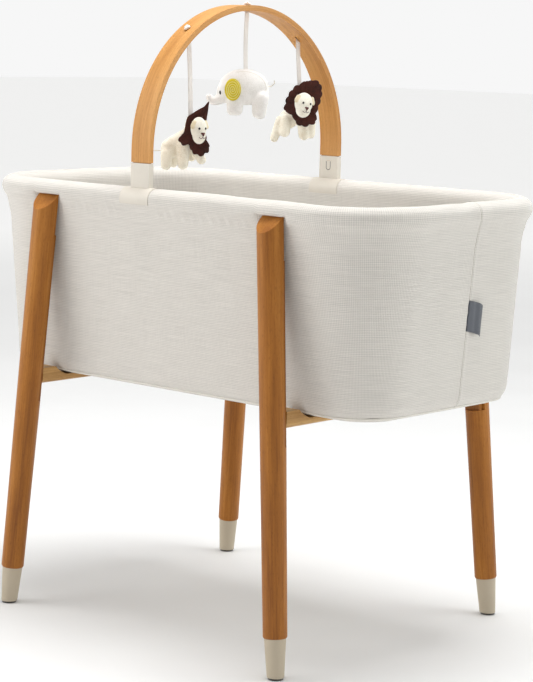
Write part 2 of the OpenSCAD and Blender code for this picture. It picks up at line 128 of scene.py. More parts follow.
# ---- material building blocks
class Shader:
    """A node material being put together. Sockets are passed round and constants stay on the sockets."""

    def __init__(self, name, rough, **sockets):
        self.m = bpy.data.materials.new(name)
        self.m.use_nodes = True
        self.t = self.m.node_tree
        self.b = self.t.nodes["Principled BSDF"]
        self.b.inputs["Roughness"].default_value = rough
        for key, value in sockets.items():
            self.b.inputs[key.replace("_", " ")].default_value = value

    def put(self, sock, value):
        if isinstance(value, bpy.types.NodeSocket):
            self.t.links.new(value, sock)
        else:
            sock.default_value = value

    def math(self, op, a, b=0.0, c=None):
        n = self.t.nodes.new("ShaderNodeMath")
        n.operation = op
        self.put(n.inputs[0], a)
        self.put(n.inputs[1], b)
        if c is not None:
            self.put(n.inputs[2], c)
        return n.outputs[0]

    def plus(self, a, b):
        return self.math("ADD", a, b)

    def minus(self, a, b):
        return self.math("SUBTRACT", a, b)

    def times(self, a, b):
        return self.math("MULTIPLY", a, b)

    def coords(self, kind="Object"):
        return self.t.nodes.new("ShaderNodeTexCoord").outputs[kind]

    def split(self, vector):
        n = self.t.nodes.new("ShaderNodeSeparateXYZ")
        self.put(n.inputs[0], vector)
        return n.outputs[0], n.outputs[1], n.outputs[2]

    def join(self, x, y, z):
        n = self.t.nodes.new("ShaderNodeCombineXYZ")
        for s, v in zip(n.inputs, (x, y, z)):
            self.put(s, v)
        return n.outputs[0]

    def mapped(self, vector, scale, rotation=(0, 0, 0)):
        n = self.t.nodes.new("ShaderNodeMapping")
        self.put(n.inputs["Vector"], vector)
        n.inputs["Rotation"].default_value = rotation
        n.inputs["Scale"].default_value = scale
        return n.outputs[0]

    def noise(self, vector, scale, detail=3, rough=0.5):
        n = self.t.nodes.new("ShaderNodeTexNoise")
        self.put(n.inputs["Vector"], vector)
        n.inputs["Scale"].default_value = scale
        n.inputs["Detail"].default_value = detail
        n.inputs["Roughness"].default_value = rough
        return n.outputs["Fac"]

    def ramp(self, fac, stops):
        n = self.t.nodes.new("ShaderNodeValToRGB")
        self.put(n.inputs[0], fac)
        e = n.color_ramp.elements
        while len(e) < len(stops):
            e.new(0.5)
        for i, (at, colour) in enumerate(stops):
            e[i].position = at
            e[i].color = (*colour, 1)
        return n.outputs[0]

    def length(self, vector):
        n = self.t.nodes.new("ShaderNodeVectorMath")
        n.operation = "LENGTH"
        self.put(n.inputs[0], vector)
        return n.outputs["Value"]

    def mix(self, fac, a, b, blend="MIX"):
        n = self.t.nodes.new("ShaderNodeMix")
        n.data_type, n.blend_type = "RGBA", blend
        self.put(n.inputs[0], fac)
        for s, v in ((n.inputs[6], a), (n.inputs[7], b)):
            self.put(s, (*v, 1) if isinstance(v, tuple) else v)
        return n.outputs[2]

    def colour(self, value):
        self.put(self.b.inputs["Base Color"], value)

    def bump(self, height, depth, strength=1.0):
        n = self.t.nodes.new("ShaderNodeBump")
        n.inputs["Strength"].default_value = strength
        n.inputs["Distance"].default_value = depth
        self.put(n.inputs["Height"], height)
        self.t.links.new(n.outputs[0], self.b.inputs["Normal"])

    def vary_rough(self, fac, low, high):
        n = self.t.nodes.new("ShaderNodeMapRange")
        self.put(n.inputs["Value"], fac)
        n.inputs["To Min"].default_value = low
        n.inputs["To Max"].default_value = high
        self.t.links.new(n.outputs[0], self.b.inputs["Roughness"])


def srgb(r, g, b):
    return tuple(((c / 255 + 0.055) / 1.055) ** 2.4 if c > 10 else c / 3295 for c in (r, g, b))


def shade(c, k):
    return tuple(min(1.0, v * k) for v in c)


def wood(name, light, mid, dark, along=None, rotation=(0, 0, 0)):
    """Close-grained wood whose fibres run along local Z, with short dark flecks as in beech.
    Where along gives the directions of a bent strip, the wood is laminated."""
    layer_t = 0.0018
    s = Shader(name, 0.42, Specular_IOR_Level=0.25)
    v = along(s) if along else s.mapped(s.coords(), (1, 1, 1), rotation)
    broad = s.noise(s.mapped(v, (1, 1, 0.08)), 38, 4, 0.55)
    fibre = s.noise(s.mapped(v, (1, 1, 0.03)), 420, 4, 0.6)
    fleck = s.noise(s.mapped(v, (1, 1, 0.16)), 900, 1, 0.4)
    tone = s.plus(s.times(broad, 0.62), s.times(fibre, 0.38))
    base = s.ramp(tone, [(0.33, dark), (0.5, mid), (0.66, light)])
    spots = s.ramp(fleck, [(0.60, (0, 0, 0)), (0.68, (1, 1, 1))])
    col = s.mix(s.times(spots, 0.30), base, shade(dark, 0.62))
    if along:
        layer = s.math("FRACT", s.times(s.split(v)[1], 1 / layer_t))
        line = s.math("LESS_THAN", s.math("ABSOLUTE", s.minus(layer, 0.5)), 0.08)
        col = s.mix(s.times(line, 0.35), col, shade(dark, 0.6))
    s.colour(col)
    s.vary_rough(fibre, 0.34, 0.52)
    s.bump(s.plus(fibre, s.times(spots, -0.5)), 0.00012, 0.6)
    return s.m


def woven(name, tint, pitch, slub=0.5, depth=0.0002, sheen=0.25, contrast=0.16, upright_share=0.5):
    """Plain weave on the UV map, which is in metres, with thick and thin threads."""
    s = Shader(name, 0.85, Sheen_Weight=sheen, Sheen_Roughness=0.5)
    uv = s.coords("UV")
    wob = s.noise(s.mapped(uv, (14, 14, 1)), 1, 2)
    u, v, _ = s.split(uv)
    u = s.math("MULTIPLY_ADD", u, 1 / pitch, s.times(wob, 0.8))
    v = s.math("MULTIPLY_ADD", v, 1 / pitch, s.times(wob, 0.8))
    cu = s.math("COSINE", s.times(u, 2 * math.pi))
    cv = s.math("COSINE", s.times(v, 2 * math.pi))
    over = s.times(s.math("SINE", s.times(u, math.pi)), s.math("SINE", s.times(v, math.pi)))
    warp = s.times(cu, s.plus(over, 1))
    weft = s.times(cv, s.minus(1, over))
    h = s.math("MULTIPLY_ADD", s.plus(warp, weft), 0.25, 0.5)
    across = s.noise(s.mapped(uv, (18, 900, 1)), 1, 2)
    upright = s.noise(s.mapped(uv, (900, 14, 1)), 1, 2)
    thick = s.plus(s.times(across, 1 - upright_share), s.times(upright, upright_share))
    deep = s.times(s.minus(1, h), contrast)
    lines = s.times(s.minus(thick, 0.5), slub)
    k = s.minus(s.plus(lines, 0.93), deep)
    s.colour(s.mix(1.0, srgb(*tint), s.join(k, k, k), "MULTIPLY"))
    s.bump(s.plus(h, s.times(thick, slub)), depth)
    return s.m


def ribbed(name, tint, pitch, rough=0.7, axis=1, depth=0.00015, sheen=0.2):
    """Ribs across a ribbon, or round a cord, on the UV map in metres."""
    s = Shader(name, rough, Sheen_Weight=sheen)
    uv = s.coords("UV")
    run = s.times(s.split(uv)[axis], 2 * math.pi / pitch)
    fuzz = s.noise(s.mapped(uv, (300, 300, 1)), 1, 3)
    h = s.math("MULTIPLY_ADD", s.math("SINE", run), 0.4, fuzz)
    k = s.math("MULTIPLY_ADD", h, 0.10, 0.90)
    s.colour(s.mix(1.0, srgb(*tint), s.join(k, k, k), "MULTIPLY"))
    s.bump(h, depth)
    return s.m


def pile(name, tint, shadow, scale=650, depth=0.0007, sheen=0.6, rough=0.95):
    """Short velour, plush or felt: fine fibres with cloudy lighter and darker strokes."""
    s = Shader(name, rough, Sheen_Weight=sheen, Sheen_Roughness=0.6)
    v = s.coords()
    fine = s.noise(v, scale, 4, 0.65)
    cloud = s.noise(v, 55, 3, 0.6)
    fac = s.plus(s.times(fine, 0.55), s.times(cloud, 0.45))
    tint = srgb(*tint)
    s.colour(s.ramp(fac, [(0.36, srgb(*shadow)), (0.52, tint), (0.68, shade(tint, 1.06))]))
    s.bump(fine, depth, 0.8)
    return s.m


def moulded(name, tint, rough, grain=900, depth=0.00004, painted_shade=None, **sockets):
    """Moulded plastic, rubber or plated steel, with painted shade where the given shade mask says so."""
    s = Shader(name, rough, **sockets)
    v = s.coords()
    fine = s.noise(v, grain, 3)
    wide = s.noise(v, 22, 3)
    tint = srgb(*tint)
    col = s.ramp(wide, [(0.3, shade(tint, 0.95)), (0.7, shade(tint, 1.03))])
    # Painted shade: where the shade mask is 1, the colour goes down to 0.3 of the tint.
    s.colour(s.mix(painted_shade(s, v), col, shade(tint, 0.3)) if painted_shade else col)
    s.vary_rough(fine, rough - 0.06, rough + 0.08)
    s.bump(fine, depth)
    return s.m


def tongue_gap_shade(s, v, half_gap=0.0007):
    """Mask of painted shade for the shadow in the gap round a release tongue: 1 along the gap, on the clip's
    inner face, and 0 elsewhere.
    """
    low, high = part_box("release_tab_rear")
    r = (high[0] - low[0]) / 2
    x, y, z = s.split(v)
    across = s.minus(x, low[0] + r)
    below = s.math("MINIMUM", s.minus(z, low[2] + r), 0.0)
    off_edge = s.minus(s.length(s.join(across, below, 0.0)), r)
    in_gap = s.math("LESS_THAN", s.math("ABSOLUTE", off_edge), half_gap)
    inner_face = s.math("LESS_THAN", s.math("ABSOLUTE", y), high[1])
    under_top = s.math("LESS_THAN", z, high[2] - 0.001)
    return s.times(in_gap, s.times(inner_face, under_top))


def along_arch(s):
    """(across, outwards, along) for the bent strip."""
    x, y, z = s.split(s.coords())
    h = s.minus(z, ARCH_SPRING)
    over = s.math("MAXIMUM", h, 0.0)
    under = s.math("MINIMUM", h, 0.0)
    turn = s.times(s.math("ARCTAN2", y, over), ARCH_R)
    run = s.minus(turn, s.times(s.math("SIGN", y), under))
    radial = s.math("SQRT", s.math("MULTIPLY_ADD", y, y, s.times(over, over)))
    return s.join(x, s.minus(radial, ARCH_R - ARCH_T / 2), run)


# light, middle and dark tone of each wood
BEECH, BAR, ARCH_WOOD, PLYWOOD = (
    [srgb(*tone) for tone in tones]
    for tones in (
        ((182, 121, 52), (161, 101, 37), (130, 76, 26)),
        ((206, 166, 104), (188, 146, 88), (158, 114, 62)),
        ((214, 160, 96), (198, 142, 78), (172, 116, 58)),
        ((222, 196, 152), (206, 176, 130), (184, 150, 104)),
    )
)
LOOKS = {}
for i, side in enumerate(SIDES):
    sx = 1 if side.endswith("right") else -1
    sy = 1 if side.startswith("rear") else -1
    turn = (-sy * LEG_LEAN, sx * LEG_SPLAY, i * 1.3)
    LOOKS["leg_" + side] = wood("beech_" + side, *BEECH, rotation=turn)
# Painted shade: the battens' beech is the legs' beech darkened, for the shadow they sit in between the legs
# and the basket wall.
LOOKS["batten"] = wood("beech_batten_shaded", *[shade(tone, k) for tone, k in zip(BEECH, (0.8, 0.78, 0.8))])
LOOKS["bar"] = wood("beech_bar", *BAR, rotation=(math.pi / 2, 0, 0))
LOOKS["slat"] = wood("beech_slat", *BAR, rotation=(0, math.pi / 2, 0))
LOOKS["arch"] = wood("arch_wood", *ARCH_WOOD, along=along_arch)
LOOKS["cap"] = moulded("cap_plastic", (188, 175, 153), 0.5)
# The clip's plastic is darker along the gap round its release tongue: painted shade for the shadow in that
# gap.
LOOKS["clip"] = moulded("clip_plastic", (214, 207, 195), 0.42, painted_shade=tongue_gap_shade)
LOOKS["rubber"] = moulded("black_rubber", (28, 28, 28), 0.7, 500, 0.0002)
LOOKS["steel"] = moulded("zinc_steel", (180, 182, 186), 0.35, Metallic=1.0)
LOOKS["glide"] = pile("glide_felt", (60, 56, 50), (34, 32, 28))
LOOKS["board"] = wood("plywood", *PLYWOOD, rotation=(0, math.pi / 2, 0))
LOOKS["foam"] = pile("foam", (240, 236, 224), (226, 220, 206), 300, 0.0003, 0.1)
LOOKS["wall"] = woven("wall_mesh", (234, 229, 221), 0.0026, 0.42, 0.0004, 0.25, 0.28, 0.25)
LOOKS["liner"] = woven("liner_mesh", (250, 248, 245), 0.0018, 0.12, contrast=0.12)
LOOKS["under"] = woven("bottom_cloth", (228, 224, 215), 0.0016, 0.2)
LOOKS["mattress"] = woven("mattress_jersey", (246, 245, 242), 0.0013, 0.1, 0.00015, 0.4, 0.08)
LOOKS["piping"] = ribbed("piping", (228, 224, 214), 0.0016, axis=0)
LOOKS["tag"] = ribbed("tag_satin", (86, 90, 98), 0.0009, 0.45, axis=1)
LOOKS["ribbon"] = ribbed("grosgrain", (240, 234, 228), 0.0011, axis=1)
LOOKS["thread"] = ribbed("thread", (232, 226, 212), 0.0012, axis=0)
LOOKS["white"] = pile("white_velour", (246, 243, 239), (232, 228, 222))
LOOKS["cream"] = pile("cream_velour", (250, 243, 225), (226, 214, 188))
LOOKS["tan"] = pile("ear_velour", (234, 220, 186), (206, 188, 148))
LOOKS["face"] = pile("face_velour", (246, 242, 228), (228, 221, 202), sheen=0.3)
LOOKS["mane"] = pile("mane_felt", (72, 29, 19), (27, 9, 6), 800, 0.0006, 0.05)
LOOKS["yellow"] = pile("ear_felt", (224, 204, 30), (200, 178, 14), 900, 0.0004, 0.2)
LOOKS["pale_yellow"] = ribbed("ear_stitches", (244, 236, 150), 0.0016, axis=0)
LOOKS["black"] = moulded("eye_bead", (12, 10, 10), 0.16, 300, 0.00001, Coat_Weight=0.6)
LOOKS["nose"] = pile("nose_felt", (92, 36, 30), (50, 18, 14), 900, 0.0002, 0.05, 0.7)


# ---- mesh building blocks
def smoothed(ob):
    ob.data.polygons.foreach_set("use_smooth", [True] * len(ob.data.polygons))
    return ob


def finished(ob, mat):
    ob.data.materials.clear()
    ob.data.materials.append(mat)
    return ob


def add(name, mesh, mat):
    ob = bpy.data.objects.new(name, mesh)
    scene.collection.objects.link(ob)
    return smoothed(finished(ob, mat))


def from_bmesh(name, bm, mat):
    mesh = bpy.data.meshes.new(name)
    bm.to_mesh(mesh)
    bm.free()
    return add(name, mesh, mat)


def lattice(name, grid, mat, u=None, v=None, wrap_u=False, wrap_v=False, caps=False):
    """Quad mesh on points grid[i][j], with UVs in metres. Where the grid wraps round, u or v has one
    more value than the grid. caps closes its two open ends."""
    ni, nj = grid.shape[:2]
    u = np.arange(ni + 1) * 0.002 if u is None else u
    v = np.arange(nj + 1) * 0.002 if v is None else v
    faces, uvs = [], []
    for i in range(ni if wrap_u else ni - 1):
        for j in range(nj if wrap_v else nj - 1):
            a, b = (i + 1) % ni, (j + 1) % nj
            faces.append((i * nj + j, a * nj + j, a * nj + b, i * nj + b))
            uvs += [(i, j), (i + 1, j), (i + 1, j + 1), (i, j + 1)]
    if caps:
        size = ni * nj
        first, last = range(nj), range(size - nj, size)
        if wrap_u:
            first, last = range(0, size, nj), range(nj - 1, size, nj)
        faces += [tuple(first), tuple(reversed(last))]
    mesh = bpy.data.meshes.new(name)
    mesh.from_pydata(grid.reshape(-1, 3).tolist(), [], faces)
    layer = mesh.uv_layers.new(name="UVMap")
    for corner, (i, j) in zip(layer.data, uvs):
        corner.uv = (u[i], v[j])
    mesh.validate()
    mesh.update()
    return add(name, mesh, mat)


def flat_uv(ob, rise=0.0):
    """UVs in metres as seen from above; rise is what a metre of height adds to them."""
    layer = ob.data.uv_layers[0]
    for l in ob.data.loops:
        co = ob.data.vertices[l.vertex_index].co
        layer.data[l.index].uv = (co.x + rise * co.z, co.y + rise * co.z)


@contextmanager
def editing(ob):
    bm = bmesh.new()
    bm.from_mesh(ob.data)
    yield bm
    bm.to_mesh(ob.data)
    bm.free()


def close_middle(ob, middle, reach):
    """Fills the small hole that a lattice of rings leaves round its middle."""
    with editing(ob) as bm:
        near = [e for e in bm.edges if (e.verts[0].co - Vector(middle)).length < reach]
        bmesh.ops.holes_fill(bm, edges=[e for e in near if e.is_boundary])


def outwards(ob):
    """Makes all faces of a closed mesh look outwards."""
    with editing(ob) as bm:
        bmesh.ops.recalc_face_normals(bm, faces=bm.faces)
    return ob


def baked(ob):
    """Replaces an object's mesh by the result of its modifiers."""
    bpy.context.view_layer.update()
    mesh = bpy.data.meshes.new_from_object(ob.evaluated_get(bpy.context.evaluated_depsgraph_get()))
    ob.modifiers.clear()
    ob.data = mesh
    return ob


def thicken(ob, depth, offset=-1.0):
    m = ob.modifiers.new("cloth", "SOLIDIFY")
    m.thickness, m.offset = depth, offset
    return ob


SEAM_HALF = [0.0006, 0.0013, 0.0024, 0.0044, 0.007, 0.011]
SEAM_STEPS = np.array([-step for step in reversed(SEAM_HALF)] + [0] + SEAM_HALF)


def loop(hl, hw, r, n_long=54, n_corner=20, seam=0.0165):
    """Points and outward directions round a rounded rectangle, anticlockwise from the rear side's middle.
    The points on the end walls are close together at the seam's y."""
    sx, sy = hl - r, hw - r
    end = [-sy * k for k in (0.9, 0.75, 0.6, 0.45, 0.3, 0.17, 0.06)]
    end += list(seam + SEAM_STEPS)
    end += [sy * k for k in (0.37, 0.48, 0.6, 0.75, 0.9)]
    pts, nor = [], []

    def corner(cx, cy, a0):
        for k in range(n_corner + 1):
            a = math.radians(a0 + 90 * k / n_corner)
            n = (math.cos(a), math.sin(a))
            pts.append((cx + r * n[0], cy + r * n[1]))
            nor.append(n)

    def side(values, at, n):
        for value in values:
            pts.append(at(value))
            nor.append(n)

    half = n_long // 2
    side([-sx * k / half for k in range(half)], lambda x: (x, hw), (0, 1))
    corner(-sx, sy, 90)
    side([-e for e in end], lambda y: (-hl, y), (-1, 0))
    corner(-sx, -sy, 180)
    side([-sx + 2 * sx * k / n_long for k in range(1, n_long)], lambda x: (x, -hw), (0, -1))
    corner(sx, -sy, 270)
    side(end, lambda y: (hl, y), (1, 0))
    corner(sx, sy, 0)
    side([sx - sx * k / half for k in range(1, half)], lambda x: (x, hw), (0, 1))
    return np.array(pts), np.array(nor)


def run_length(pts, closed=True):
    q = np.vstack([pts, pts[:1]]) if closed else pts
    return np.concatenate([[0], np.cumsum(np.linalg.norm(np.diff(q, axis=0), axis=1))])


def wall_size(z, inset=0.0):
    k = (z - BASE_Z) / (WALL_TOP - BASE_Z)
    return (
        BASE_HL + (TOP_HL - BASE_HL) * k - inset,
        BASE_HW + (TOP_HW - BASE_HW) * k - inset,
        BASE_CORNER + (TOP_CORNER - BASE_CORNER) * k - inset,
    )


def tub_profile(inset, top, n_wall, arc, n_arc):
    """(z, inset) down the wall and round the fillet through arc degrees from upright."""
    r = BASE_ROUND - inset
    rows = [(top + (BASE_Z + BASE_ROUND - top) * k / n_wall, inset) for k in range(n_wall)]
    for k in range(n_arc + 1):
        a = math.radians(90 - arc * k / n_arc)
        rows.append((BASE_Z + BASE_ROUND - r * math.cos(a), BASE_ROUND - r * math.sin(a)))
    return rows


def curve_points(keys, n):
    """n points on a smooth line through the keys."""
    keys = np.array(keys, float)
    last = len(keys) - 1
    out = []
    for t in np.linspace(0, last, n):
        i = min(int(t), last - 1)
        f = t - i
        a, b, c, d = (keys[max(0, min(last, i + step))] for step in (-1, 0, 1, 2))
        cubic = 2 * b + (c - a) * f + (2 * a - 5 * b + 4 * c - d) * f * f + (3 * b - a - 3 * c + d) * f**3
        out.append(0.5 * cubic)
    return np.array(out)


def smooth01(t):
    t = np.clip(t, 0, 1)
    return t * t * (3 - 2 * t)


def bell(x, width):
    return math.exp(-((x / width) ** 2))


def wave(*p):
    return noise.noise(Vector(p))


def level_row(xy, z):
    return np.column_stack([xy, np.full(len(xy), z)])


def round_the_tub(rows):
    """Rows that each go round the tub, as a grid whose first index goes round."""
    return np.array(rows).transpose(1, 0, 2)


# ---- basket cloth
# Half width and height up the wall, over the padded rim and down to the liner
ROLL = [
    (0.2277, 0.640), (0.2306, 0.653), (0.2330, 0.6615), (0.2348, 0.669), (0.2373, 0.6755), (0.2404, 0.6805),
    (0.2428, 0.685), (0.2443, 0.6893), (0.2450, 0.694), (0.2437, 0.7005), (0.2400, 0.7055), (0.2340, 0.709),
    (0.2280, 0.710), (0.2205, 0.7082), (0.2138, 0.7025), (0.2110, 0.693), (0.2132, 0.677), (0.2193, 0.645),
]
# The same where a leg presses in
AT_LEG = [
    (0.2272, 0.640), (0.2294, 0.653), (0.2306, 0.6615), (0.2313, 0.6685), (0.2326, 0.675), (0.2351, 0.682),
    (0.2357, 0.689), (0.2372, 0.6922), (0.2436, 0.6902), (0.2442, 0.698), (0.2406, 0.7047), (0.2343, 0.7088),
] + ROLL[12:]


def rise_of(z):
    """0 at the base board, 1 at the top of the wall."""
    return min(1.0, (z - BASE_Z) / (WALL_TOP - BASE_Z))


def seam_y(z):
    """y of the right end wall's upright seam."""
    return 0.0185 + 0.0025 * rise_of(z) - 0.009 * float(smooth01((z - 0.665) / 0.035))


def from_leg(x, z):
    """How far a point on a long side is from the middle line of the nearest leg."""
    return abs(abs(x) - LEG_X - (LEG_TOP - z) * LEG_SPLAY)


def slack(run, z, row, on_roll, outside):
    """How far the cloth stands out: slow unevenness, and fine pulls under the rim and over the piping."""
    soft = 0.0009 * wave(run * 7, z * 5, 1.3) + 0.0004 * wave(run * 26, z * 9, 4.0)
    soft *= smooth01((z - 0.40) / 0.05)
    if on_roll:
        soft += 0.0007 * wave(run * 10, row * 0.11, 8.0) + 0.00035 * wave(run * 45, row * 0.25, 2.0)
    if outside:
        pull = math.sin(run * 2 * math.pi / 0.019 + 4 * wave(run * 8, 0, 0))
        soft += 0.0007 * pull * bell(z - 0.672, 0.009)
        soft += 0.00025 * math.sin(run * 2 * math.pi / 0.016) * math.exp(-max(0, z - 0.394) / 0.010)
    return soft


def sewn(y, z):
    """The end wall's upright seam: a groove between two low ridges, with stitches."""
    off = abs(y - seam_y(z))
    stitches = 0.0003 * math.sin(z * 2 * math.pi / 0.009) * math.exp(-off / 0.005)
    return -0.0013 * bell(off, 0.0012) + 0.0007 * bell(off - 0.0038, 0.0022) + stitches


def under_clip(w, z):
    """The rim's cross-section where a clip's saddle holds it in to its own bore."""
    bore = 0.0168
    across, up = w - RIM_HW, z - RIM_Z
    squeeze = bore / max(bore, math.hypot(across, up))
    return across * squeeze + RIM_HW, up * squeeze + RIM_Z


def basket_cloth():
    n_roll, n_long = 44, 150
    wall_rows = tub_profile(0.0, 0.634, 36, 45, 6)
    flat = np.array([(wall_size(z, inset)[1], z) for z, inset in wall_rows])
    line = np.vstack([curve_points(ROLL, n_roll)[::-1], flat])
    pressed = np.vstack([curve_points(AT_LEG, n_roll)[::-1], flat])
    slope = np.gradient(line, axis=0)
    normal = np.column_stack([-slope[:, 1], slope[:, 0]]) / np.linalg.norm(slope, axis=1)[:, None]
    run = run_length(loop(*wall_size(MID_WALL_Z), n_long)[0])
    grid = []
    for row, (w, z) in enumerate(line):
        k = rise_of(z)
        on_roll, outside = row < n_roll, row > n_roll * 0.45
        if on_roll:
            size = (w + 0.208 - 0.013 * k, w, w - 0.117 + 0.017 * k)
        else:
            size = wall_size(*wall_rows[row - n_roll])
        ring = []
        for i, (p, n) in enumerate(zip(*loop(*size, n_long, seam=seam_y(z)))):
            on_side = abs(n[1]) > 0.99
            pressed_in = out = 0.0
            free = 1.0
            if on_side and z > 0.63:
                off = from_leg(p[0], z)
                pressed_in = 1 - smooth01((off - 0.0232) / 0.0095)
                free = smooth01((off - 0.024) / 0.02) * smooth01((abs(p[0] - ARCH_X) - 0.034) / 0.015)
                if outside and z > 0.645:
                    out -= 0.0011 * bell(off - 0.034, 0.004) * bell(z - 0.684, 0.014)
            out += slack(run[i], z, row, on_roll, outside) * free
            if n[0] > 0.999:
                out += sewn(p[1], z)
            if outside and n[1] < -0.01 and n[0] > 0.3:
                out -= 0.0012 * bell(n[0] - 0.80, 0.10) * smooth01(1.1 - k)
            sag = 0.0024 * bell(p[0] - 0.36, 0.06) * smooth01((z - 0.66) / 0.03) if p[1] < 0 else 0.0
            new_w = w + (pressed[row, 0] - w) * pressed_in + normal[row, 0] * out
            new_z = z + (pressed[row, 1] - z) * pressed_in + normal[row, 1] * out - sag
            if on_side and abs(p[0] - ARCH_X) < 0.036 and new_z > 0.683:
                new_w, new_z = under_clip(new_w, new_z)
            ring.append((*(p + n * (new_w - w)), new_z))
        grid.append(ring)
    drop = run_length(line, closed=False)
    ob = lattice("basket_cloth", round_the_tub(grid), LOOKS["wall"], run, drop, wrap_u=True)
    thicken(ob, CLOTH_T)
    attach(ob, "basket")
    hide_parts("outer_cover", "rim_cover", "rim_pad")
    return ob


tub = basket_cloth()


def bottom_cloth():
    rows = []
    for k in range(7):
        a = math.radians(45 - 45 * k / 6)
        z, inset = BASE_Z + BASE_ROUND * (1 - math.cos(a)), BASE_ROUND * (1 - math.sin(a))
        edge = loop(*wall_size(z, inset))[0]
        rows.append(level_row(edge, z))
    rows += [level_row(edge * f, z) for f in (0.97, 0.93, 0.86, 0.76, 0.64, 0.5, 0.35, 0.2, 0.07)]
    ob = lattice("bottom_cloth", round_the_tub(rows), LOOKS["under"], wrap_u=True)
    flat_uv(ob)
    close_middle(ob, (0, 0, z), 0.05)
    thicken(ob, CLOTH_T, 1.0)
    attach(ob, "basket")
    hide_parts("outer_cover")


bottom_cloth()


def ring_tube(name, size, z, radius, mat, body, sides=10):
    pts, nor = loop(*size)
    turns = [2 * math.pi * j / sides for j in range(sides)]
    rows = [level_row(pts + nor * (radius * math.cos(a)), z + radius * math.sin(a)) for a in turns]
    around = np.arange(sides + 1) * 2 * math.pi * radius / sides
    ob = lattice(name, round_the_tub(rows), mat, run_length(pts), around, True, True)
    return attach(outwards(ob), body)


def bottom_piping(radius=0.0016):
    """Piping half way round the bottom's fillet, where the wall cloth and the bottom cloth meet."""
    low = BASE_ROUND - (BASE_ROUND + 0.0014) * math.cos(math.radians(45))
    z = BASE_Z + low
    ob = ring_tube("bottom_piping_cord", wall_size(z, low), z, radius, LOOKS["piping"], "basket")
    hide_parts("bottom_piping")


bottom_piping()


def liner_slack(run, z):
    """How far the liner stands in from its wall: soft folds, and a few sharp creases."""
    fold = max(0.0, wave(run * 11, z * 1.2, 7.7)) ** 1.5 * 0.0060
    fold += 0.0009 * wave(run * 30, z * 4, 2.2)
    crease = 0.0016 * bell(math.sin(run * math.pi / 0.30), 0.05)
    return (fold + crease) * smooth01((z - 0.43) / 0.05) * smooth01((0.652 - z) / 0.03)


def liner():
    profile = tub_profile(0.008, 0.652, 30, 90, 8)
    run = run_length(loop(*wall_size(MID_WALL_Z))[0])
    rows = []
    for z, inset in profile:
        pts, nor = loop(*wall_size(z, inset))
        inwards = np.array([liner_slack(s, z) for s in run[:-1]])
        rows.append(level_row(pts - nor * inwards[:, None], z))
    drop = run_length(np.array(profile), closed=False)
    ob = lattice("inner_liner_cloth", round_the_tub(rows), LOOKS["liner"], run, drop, wrap_u=True)
    floor_z, floor_hl = profile[-1][0], 0.377
    with editing(ob) as bm:
        edges = [e for e in bm.edges if e.is_boundary and all(abs(v.co.z - floor_z) < 1e-5 for v in e.verts)]
        for f in (0.9, 0.7, 0.45, 0.2):
            out = bmesh.ops.extrude_edge_only(bm, edges=edges)["geom"]
            verts = [g for g in out if isinstance(g, bmesh.types.BMVert)]
            shrink = f * floor_hl / max(v.co.x for v in verts)
            for v in verts:
                v.co.xy *= shrink
            edges = [g for g in out if isinstance(g, bmesh.types.BMEdge)]
        bmesh.ops.holes_fill(bm, edges=edges)
    smoothed(ob)
    thicken(ob, 0.0010)
    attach(ob, "basket")
    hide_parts("inner_liner", "wall_foam")


liner()


# ---- care tag, folded and sewn into the seam
def tag():
    low, high = 0.513, 0.561
    rows, cols = 14, 34
    x0 = wall_size(low)[0]
    lean = (TOP_HL - BASE_HL) / (WALL_TOP - BASE_Z)
    grid = np.zeros((rows, cols, 3))
    for i in range(rows):
        z = low + (high - low) * i / (rows - 1)
        for j in range(cols):
            t = j / (cols - 1)
            fold = 1 - abs(2 * t - 1)
            y = seam_y(z) - 0.0005 + (0.0275 + 0.002 * i / rows) * math.sin(fold * math.pi / 2) ** 0.9
            lift = 0.0008 + 0.0070 * math.sin(min(1, fold * 1.15) * math.pi / 2) * (1 - 0.25 * i / rows)
            lift += (0.0014 if t > 0.5 else 0.0) * (1 - fold) + 0.0005 * math.sin(y * 500)
            grid[i, j] = (x0 + (z - low) * lean + lift, y, z - 0.0105 * fold)
    u, v = np.linspace(0, 0.048, rows), np.linspace(0, 0.062, cols)
    ob = thicken(lattice("care_tag_ribbon", grid, LOOKS["tag"], u, v), 0.0003, 0)
    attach(ob, "basket")
    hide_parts("care_tag")


tag()


# ---- mattress
def mattress_rows(low, high, edge_r=0.006, steps=6):
    """(share of the half size, z, how far out) from the middle of the top, round to the middle below."""
    rows = []
    for f in (0.03, 0.12, 0.22, 0.32, 0.42, 0.52, 0.61, 0.69, 0.76, 0.82, 0.87, 0.91, 0.945, 0.97, 0.985):
        rows.append((f, high, 0))
    quarter = [math.pi / 2 * k / steps for k in range(steps + 1)]
    for a in quarter[1:]:
        rows.append((1.0, high - edge_r * (1 - math.cos(a)) - 0.001, -edge_r * (1 - math.sin(a))))
    side_top, side_low = high - edge_r - 0.001, low + edge_r
    for k in range(1, steps):
        z = side_top + (side_low - side_top) * k / steps
        rows.append((1.0, z, 0.0015 * math.sin(math.pi * k / steps) - 0.0005))
    for a in quarter:
        rows.append((1.0, low + edge_r * (1 - math.sin(a)), -edge_r * (1 - math.cos(a)) - 0.0008))
    for f in (0.95, 0.85, 0.65, 0.4, 0.15, 0.03):
        rows.append((f, low, -edge_r - 0.0008))
    return rows


def quilted(x, y, f):
    """Height of the crowned top, with a tuft where the quilting holds it down."""
    tuft = 0.0016 * (math.cos(x * 2 * math.pi / 0.11) * math.cos(y * 2 * math.pi / 0.11)) ** 2
    return 0.0035 * (1 - f**4) - tuft * smooth01((1 - f) / 0.15) + 0.0006 * wave(x * 20, y * 20, 3)


